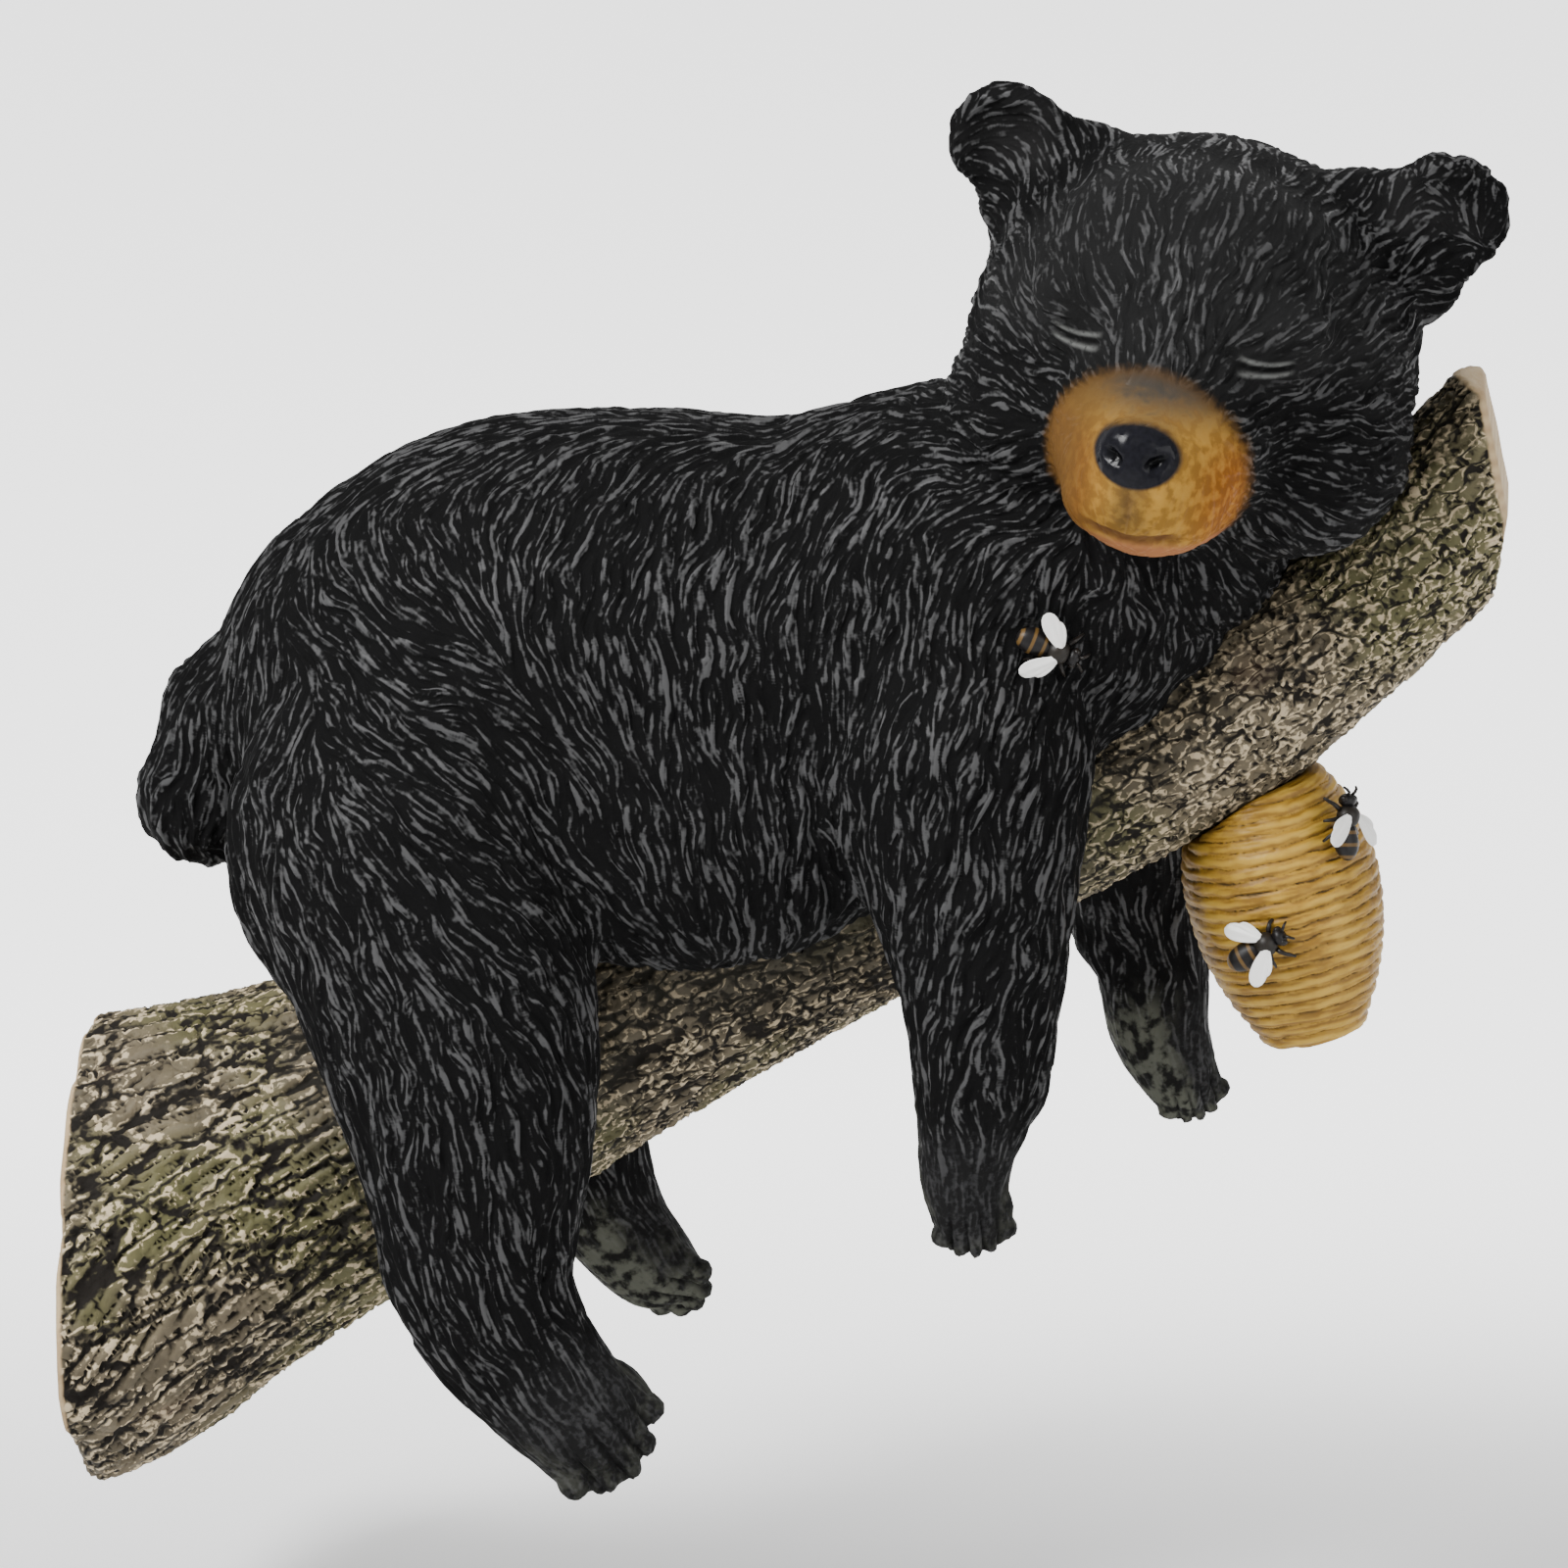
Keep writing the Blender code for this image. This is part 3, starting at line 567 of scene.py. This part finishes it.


# The limb is one casting of a sawn branch with rough plated bark, furrowed along the grain and cracked across
# it. It is painted brown and tinted moss green, darker in the furrows and cracks with a dark wash that is
# partly painted shade, and tan on the plates' lips and tops with brushing that is partly painted highlight.

limb_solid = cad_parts["limb"]
limb_high = np.array(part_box("limb")[1])
limb_points = points_of(limb_solid.data)
chord = np.array((limb_high[0], 0, limb_high[2] - 0.02))
chord /= np.linalg.norm(chord)
square = np.array((-chord[2], 0, chord[0]))
heart = np.polyfit(limb_points @ chord, limb_points @ square, 4)
heart_slope = np.polyder(heart)


def grain_way(spots):
    """The way the wood's grain runs, along the limb's bend."""
    slope = np.polyval(heart_slope, spots @ chord)
    ahead = chord + slope[:, None] * square
    return ahead / np.linalg.norm(ahead, axis=1)[:, None]


def ring_way(spots):
    """The way around the limb, square to the grain."""
    out = spots - (spots @ chord)[:, None] * chord - np.polyval(heart, spots @ chord)[:, None] * square
    around = np.cross(grain_way(spots), out)
    return around / (np.linalg.norm(around, axis=1)[:, None] + 1e-9)


limb = fine_skin("limb_bark", limb_solid, 0.00088)
places = points_of(limb.data)

# The underside is hollowed a little between the skep and the sawn end
reach = places @ chord
below = rise((np.polyval(heart, reach) - places @ square) / 0.02, 0.2, 1.0)
places += 0.0026 * (rise(reach, 0.293, 0.315) * (1 - rise(reach, 0.335, 0.352)) * below)[:, None] * square

# How deep each place lies under the nearest sawn face: the butt, the outer end or its trimmed top
cut_depth = places[:, 0]
for tilt in (12, 68):
    saw_tip = np.array((math.cos(math.radians(tilt)), 0, math.sin(math.radians(tilt))))
    cut_depth = np.minimum(cut_depth, (limb_points @ saw_tip).max() - places @ saw_tip)
places = eased(limb.data, places, 0.5 * rise(cut_depth, 0.001, 0.004), 40)

# The sawn outer end is worn round: its upper half stands out a little and its lower edge is taken off
near_end = 1 - rise(cut_depth, 0.0, 0.016)
places[:, 0] += 0.0022 * near_end * rise(places[:, 2], 0.164, 0.177) * rise(places[:, 0], 0.2, 0.25)
worn = np.array((math.cos(math.radians(-9)), 0, math.sin(math.radians(-9))))
places -= np.maximum(places @ worn - np.array((0.3187, 0, 0.180)) @ worn, 0)[:, None] * worn
move_points(limb.data, places)
normals = normals_of(limb.data)
girth = 1 - rise(places @ chord, 0.06, 0.22)
coarse = combed(Gouge(0.0040, seed=21), places, normals, grain_way, run=0.012, steps=11)
close = combed(Gouge(0.0028, seed=22), places, normals, grain_way, run=0.005)
ridges = coarse * girth + close * (1 - girth)
breaks = combed(Gouge(0.0064, seed=23), places, normals, ring_way, run=0.004, steps=5)
knobs = Gouge(0.0019, seed=24).at(places)
plates = rise(np.abs(ridges), 0.0, 0.55) * (0.4 + 0.6 * rise(np.abs(breaks), 0.0, 0.3))
bark = rise(cut_depth, 0.0006, 0.0025)
height = (plates - 0.7) * (0.0008 + 0.0007 * girth) + np.tanh(ridges) * 0.0003 + knobs * 0.0002
move_points(limb.data, places + normals * (height * bark)[:, None])

# The bark is painted darker close to the cub, as painted shade under it
cub_skin = points_of(cub.data)[::12]
cub_points = kdtree.KDTree(len(cub_skin))
for i, place in enumerate(cub_skin):
    cub_points.insert(place, i)
cub_points.balance()
from_cub = np.array([cub_points.find(place)[2] for place in places])
note(limb.data, "plate", plates + knobs * 0.12)
note(limb.data, "bark", bark)
note(limb.data, "lee", (1 - rise(from_cub, 0.002, 0.024)) * (1 - 0.55 * rise(places @ chord, 0.22, 0.27)))
limb = thinned(limb, 185000)

bark_paint, paint, wire = finish_of("bark_paint", Specular_IOR_Level=0.25)
plate = paint.noted("plate")
fleck = paint.noise(0.0016, 2)
patch = paint.noise(0.016, 3)
far_patch = paint.noise(0.05, 2)

# Cracks part the bark into plates that are longer along the grain, and are drawn out most by the butt
position = paint.node("ShaderNodeTexCoord", out=3)
along_grain = paint.node("ShaderNodeMapping", {"vector_type": "TEXTURE"}, {
    "Vector": position,
    "Rotation": (0.0, -math.atan2(chord[2], chord[0]), 0.0),
    "Scale": (0.0062, 0.0034, 0.0034),
})
swirl = paint.node("ShaderNodeTexNoise", {}, {"Vector": along_grain, "Scale": 1.3, "Detail": 1.0}, out=1)
crooked = swirl.ahead(0.9, along_grain)
from_wall = paint.place(0)
near_butt = 1 - from_wall.rise(0.06, 0.16)
outer = from_wall.rise(0.20, 0.26)
crack = 0
for share, stretch in ((1 - near_butt, (0.85, 0.85, 0.85)), (near_butt, (0.22, 0.50, 0.50))):
    drawn_out = paint.node("ShaderNodeVectorMath", {"operation": "MULTIPLY"}, {0: crooked, 1: stretch})
    sockets = {"Vector": drawn_out, "Scale": 1.0}
    crack = crack + paint.node("ShaderNodeTexVoronoi", {"feature": "DISTANCE_TO_EDGE"}, sockets) * share
split = 1 - crack.rise(0.02, 0.10)
# Painted highlight, partly real tan brushing: the lips of the cracks and the raised plates are paler
lip = crack.band(0.14, 0.08) * fleck.rise(0.36, 0.54)
brown = patch.rise(0.35, 0.65).mix((0.080, 0.065, 0.040), (0.145, 0.118, 0.075))
brown = (far_patch.rise(0.45, 0.62) * 0.55).mix(brown, (0.095, 0.096, 0.026))
tan_brush_and_highlight = ((plate + (fleck - 0.5) * 1.2 + lip * 0.7 + outer * 0.15).rise(1.08, 1.55)) * 0.95
brown = tan_brush_and_highlight.mix(brown, (0.52, 0.42, 0.27))
# Painted shade, partly a real dark wash: the furrows and cracks are darkened
wash_and_shade = 1 - (plate + (fleck - 0.5) * 0.8 - split * 0.7 + outer * 0.18).rise(0.15, 0.75)
brown = wash_and_shade.mix(brown, (0.007, 0.005, 0.003))
rose = (patch.rise(0.5, 0.7) * far_patch.rise(0.40, 0.30)) * 0.5
brown = rose.mix(brown, (0.12, 0.055, 0.035))
# Painted shade: the bark near the cub is darkened
brown = (paint.noted("lee") * 0.65).mix(brown, (0.015, 0.014, 0.009))
rings = paint.node("ShaderNodeTexWave", {"wave_type": "RINGS", "rings_direction": "X"},
                   {"Vector": position, "Scale": 90.0, "Distortion": 1.2, "Detail": 2.0})
sawn = (rings * 0.5 + fleck * 0.3).mix((0.50, 0.38, 0.22), (0.32, 0.21, 0.11))
colour = paint.noted("bark").rise(0.2, 0.7).mix(sawn, brown)
bump = paint.bumped(paint.noise(0.0007, 3), 0.35, 0.0005)
wire(Base_Color=colour, Roughness=0.62 + wash_and_shade * 0.2, Normal=bump)
limb.data.materials.clear()
limb.data.materials.append(bark_paint)
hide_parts("limb")
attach(limb, "root")


# The hive is a skep, cast as a stack of straw coils that run round it and lean with it under the limb.
# It is painted straw yellow, with dark brown in the grooves between the coils that is partly a real wash and
# partly painted shade, and paler coil crests that are partly painted highlight.

hive_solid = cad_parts["hive"]
COILS = 23
hive_tilt = math.radians(13)
hive_up = np.array((-math.sin(hive_tilt), 0, math.cos(hive_tilt)))
hive_points = points_of(hive_solid.data)
hive_foot = (hive_points @ hive_up).min()
hive_height = 0.070
rim = hive_points[hive_points @ hive_up < hive_foot + 0.0001]
hive_middle = rim.mean(0)
hive = fine_skin("hive_straw", hive_solid, 0.00045)
places = points_of(hive.data)
level = (places @ hive_up - hive_foot) / hive_height
places = eased(hive.data, places, 0.5 * rise(level, 0.0, 0.05) * (1 - rise(level, 0.86, 0.94)), 120)
move_points(hive.data, places)
normals = normals_of(hive.data)


def coil_way(spots):
    """The way the straw runs, round the skep's own upright line."""
    around = np.cross(hive_up, spots - hive_middle)
    return around / (np.linalg.norm(around, axis=1)[:, None] + 1e-9)


level = (places @ hive_up - hive_foot) / hive_height
wander = Gouge(0.016, seed=31).at(places) * 0.10 + Gouge(0.006, seed=32).at(places) * 0.06
turn_share = (level * COILS + wander) % 1
coil = np.sqrt(1 - (2 * turn_share - 1) ** 2)
straws = combed(Gouge(0.0010, seed=33), places, normals, coil_way, run=0.004, steps=8)
wall = 1 - rise(np.abs(normals @ hive_up), 0.75, 0.95)
height = ((coil - 0.75) * 0.0009 + np.tanh(straws) * 0.00014) * wall
move_points(hive.data, places + normals * height[:, None])
note(hive.data, "coil", coil * wall + (1 - wall) * 0.8)
note(hive.data, "straw", np.tanh(straws))
hive = thinned(hive, 95000)

straw_paint, paint, wire = finish_of("straw_paint", Specular_IOR_Level=0.35)
coil_wire = paint.noted("coil")
straw_wire = paint.noted("straw")
patch = paint.noise(0.012, 3)
straw = (straw_wire * 0.35 + patch).rise(0.2, 0.85).mix((0.21, 0.105, 0.008), (0.34, 0.19, 0.018))
# Painted highlight, partly real pale paint: the coils' crests are lighter
straw = (coil_wire * (0.5 + patch)).rise(0.85, 1.15).mix(straw, (0.47, 0.29, 0.040))
# Painted shade, partly a real brown wash: the grooves between the coils are darkened
groove_wash_and_shade = 1 - (coil_wire + (patch - 0.5) * 1.2 + straw_wire * 0.16).rise(0.10, 0.62)
straw = (groove_wash_and_shade * 0.85).mix(straw, (0.036, 0.021, 0.003))
bump = paint.bumped(paint.noise(0.0005, 2), 0.2, 0.0003)
wire(Base_Color=straw, Roughness=0.5 + groove_wash_and_shade * 0.2, Normal=bump)
hive.data.materials.clear()
hive.data.materials.append(straw_paint)
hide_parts("hive")
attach(hive, "root")


# Three bees are cast whole, each with its legs drawn in and four wings laid back, and glued where they
# sit: one on the cub's chest and two on the skep. They are painted black and amber, with white wings.

def bee_ball(bm, middle, radii, turn=Matrix(), paint_slot=0):
    place = Matrix.Translation(middle) @ turn @ Matrix.Diagonal((*radii, 1))
    made = bmesh.ops.create_icosphere(bm, subdivisions=3, radius=1, matrix=place)
    for face in {face for vertex in made["verts"] for face in vertex.link_faces}:
        face.material_index = paint_slot
    return made["verts"]


def bee_tube(bm, path, radii, paint_slot=0):
    """A leg or feeler: rings along a bent path, closed at both ends."""
    rings = []
    for i, (place, radius) in enumerate(zip(path, radii)):
        way = (path[min(i + 1, len(path) - 1)] - path[max(i - 1, 0)]).normalized()
        turn = way.to_track_quat("Z", "Y").to_matrix()
        rings.append([bm.verts.new(place + turn @ Vector((math.cos(a), math.sin(a), 0)) * radius)
                      for a in (math.pi / 4 * k for k in range(8))])
    faces = [bm.faces.new(reversed(rings[0])), bm.faces.new(rings[-1])]
    for low, high in zip(rings, rings[1:]):
        faces += [bm.faces.new((low[k], low[(k + 1) % 8], high[(k + 1) % 8], high[k])) for k in range(8)]
    for face in faces:
        face.material_index = paint_slot


def bee_mesh():
    """A bee with its head towards +Y and its back up, in shares of its length."""
    bm = bmesh.new()
    for vertex in bee_ball(bm, (0, -0.25, 0.165), (0.195, 0.27, 0.165)):
        ring = abs(math.sin((vertex.co.y + 0.02) * math.pi / 0.085))
        core = Vector((0, vertex.co.y, 0.165))
        vertex.co = core + (vertex.co - core) * (0.93 + 0.07 * ring)
        vertex.co.z += 0.02 * math.sin(vertex.co.y * 9)
    bee_ball(bm, (0, 0.09, 0.185), (0.170, 0.165, 0.160))
    bee_ball(bm, (0, 0.305, 0.165), (0.130, 0.095, 0.120))
    for side in (-1, 1):
        bee_ball(bm, (side * 0.098, 0.325, 0.180), (0.048, 0.056, 0.072), paint_slot=1)
        feeler = [Vector((side * x, y, z)) for x, y, z in
                  ((0.03, 0.36, 0.20), (0.06, 0.42, 0.25), (0.10, 0.46, 0.24), (0.13, 0.49, 0.20))]
        bee_tube(bm, feeler, (0.024, 0.022, 0.020, 0.016), 1)
        for root_y, foot_y in ((0.16, 0.34), (0.07, 0.02), (-0.02, -0.26)):
            bends = ((0.08, 0.0, 0.10), (0.17, 0.25, 0.15), (0.24, 0.55, 0.13),
                     (0.28, 0.8, 0.05), (0.32, 1.0, 0.012))
            leg = [Vector((side * x, root_y + (foot_y - root_y) * along, z)) for x, along, z in bends]
            bee_tube(bm, leg, (0.036, 0.036, 0.030, 0.024, 0.018), 1)
        for spread, tilt, reach, width, rise_up in ((44, 8, 0.30, 0.160, 0.305), (56, 4, 0.22, 0.130, 0.290)):
            turn = Matrix.Rotation(side * math.radians(spread), 4, "Z")
            turn = turn @ Matrix.Rotation(side * math.radians(tilt), 4, "Y")
            root = Vector((side * 0.05, 0.12, rise_up))
            middle = root + turn.to_3x3() @ Vector((0, -reach * 0.93, 0))
            for vertex in bee_ball(bm, middle, (width, reach, 0.016), turn, 2):
                own = turn.inverted() @ (vertex.co - middle)
                own.x *= 0.72 + 0.34 * (-own.y / reach)
                own.z += 0.006 * math.cos(own.x / width * 9) - 0.35 * own.x * own.x
                vertex.co = middle + turn @ own
    mesh = bpy.data.meshes.new("bee")
    bm.to_mesh(mesh)
    bm.free()
    mesh.shade_smooth()
    return mesh


body_paint, paint, wire = finish_of("bee_body_paint", Specular_IOR_Level=0.3)
length_wise = paint.place(1)
speckle = paint.noise(0.0008, 2)
stripe = (paint.maths("SINE", (length_wise * 37.0)) + (speckle - 0.5) * 0.6).rise(0.45, 0.85)
behind = 1 - length_wise.rise(-0.06, -0.03)
amber_band = (stripe * behind * 0.8).mix((0.005, 0.004, 0.004), (0.13, 0.072, 0.018))
thorax = length_wise.rise(-0.05, -0.02) * (1 - length_wise.rise(0.20, 0.23)) * speckle.rise(0.45, 0.7)
wire(Base_Color=(thorax * 0.5).mix(amber_band, (0.06, 0.045, 0.022)), Roughness=0.38 + speckle * 0.2)
dark_paint, paint, wire = finish_of("bee_dark_paint", Roughness=0.35, Specular_IOR_Level=0.25)
wire(Base_Color=paint.noise(0.001, 2).mix((0.004, 0.0035, 0.0035), (0.018, 0.014, 0.011)))
wing_paint, paint, wire = finish_of("bee_wing_paint", Roughness=0.35)
wire(Base_Color=paint.noise(0.0016, 3).rise(0.3, 0.7).mix((0.78, 0.77, 0.73), (0.94, 0.94, 0.92)))

shape = bee_mesh()
for slot_paint in (body_paint, dark_paint, wing_paint):
    shape.materials.append(slot_paint)

# The way that each bee's head points. It sits where its solid does.
BEES = {
    "bee_on_chest": (0.92, 0.0, -0.40),
    "bee_on_hive_front": (0.85, 0.0, 0.50),
    "bee_on_hive_side": (0.25, 0.0, 0.95),
}
for node, heading in BEES.items():
    points = points_of(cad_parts[node].data)
    up = np.linalg.eigh(np.cov(points.T))[1][:, 0]
    up *= np.sign(up @ (0.6, -1, 0.2))
    ahead = np.array(heading) - up * (up @ heading)
    ahead /= np.linalg.norm(ahead)
    side = np.cross(ahead, up)
    along, high, wide_points = points @ ahead, points @ up, points @ side
    length = (along.max() - along.min()) / 0.945
    seat = ahead * (along.max() - 0.425 * length) + up * high.min()
    seat += side * (wide_points.max() + wide_points.min()) / 2
    bee = bpy.data.objects.new(node + "_cast", shape.copy())
    bpy.context.scene.collection.objects.link(bee)
    turn = Matrix((side, ahead, up)).transposed().to_4x4()
    bee.matrix_world = Matrix.Translation(seat) @ turn @ Matrix.Scale(length, 4)
    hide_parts(node)
    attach(bee, "root")


# The statue hangs over a plain pale floor in soft studio light, and is seen from a little above.
# None of this is part of the object.

floor_mesh = bpy.data.meshes.new("floor")
FLOOR_REACH = 9
drop = cad_box[0][2] - 0.05
corners = [(x * FLOOR_REACH, y * FLOOR_REACH, drop) for x, y in ((-1, -1), (1, -1), (1, 1), (-1, 1))]
floor_mesh.from_pydata(corners, [], [(0, 1, 2, 3)])
floor = bpy.data.objects.new("floor", floor_mesh)
bpy.context.scene.collection.objects.link(floor)
floor_paint, paint, wire = finish_of("floor_paint", Base_Color=(0.86, 0.86, 0.86, 1), Roughness=0.9)
wire(Emission_Color=paint.place(1).rise(-0.05, 0.5).mix((0, 0, 0), (1, 1, 1)))
floor_shader = floor_paint.node_tree.nodes["Principled BSDF"]
floor_shader.inputs["Emission Strength"].default_value = 1.9
floor_mesh.materials.append(floor_paint)

world = bpy.data.worlds.new("studio")
world.use_nodes = True
world.node_tree.nodes["Background"].inputs["Color"].default_value = (1, 1, 1, 1)
world.node_tree.nodes["Background"].inputs["Strength"].default_value = 0.55
bpy.context.scene.world = world

look_at = Vector((0.15577, 0.03836, 0.09951))
azimuth, elevation, distance = math.radians(4), math.radians(15), 2.4
level = math.cos(elevation)
back = Vector((math.sin(azimuth) * level, -math.cos(azimuth) * level, math.sin(elevation)))


def lamp(name, way, size, power):
    """A soft square light, a metre and a half away from the statue in some direction."""
    data = bpy.data.lights.new(name, "AREA")
    data.size = size
    data.energy = power
    made = bpy.data.objects.new(name, data)
    made.location = look_at + Vector(way).normalized() * 1.5
    made.rotation_mode = "QUATERNION"
    made.rotation_quaternion = Vector(way).to_track_quat("Z", "Y")
    bpy.context.scene.collection.objects.link(made)


lamp("key", (-0.8, -0.9, 1.2), 0.45, 36)
lamp("fill", (1.2, -0.9, 0.4), 0.9, 9)
lamp("rim", (0.3, 1.0, 0.9), 0.8, 7)

camera_data = bpy.data.cameras.new("camera")
camera_data.sensor_width = 36
camera_data.lens = 36 * distance / (1600 * 0.000222)
camera_data.clip_end = 100
camera = bpy.data.objects.new("camera", camera_data)
camera.location = look_at + back * distance
camera.rotation_mode = "QUATERNION"
camera.rotation_quaternion = back.to_track_quat("Z", "Y")
bpy.context.scene.collection.objects.link(camera)
bpy.context.scene.camera = camera
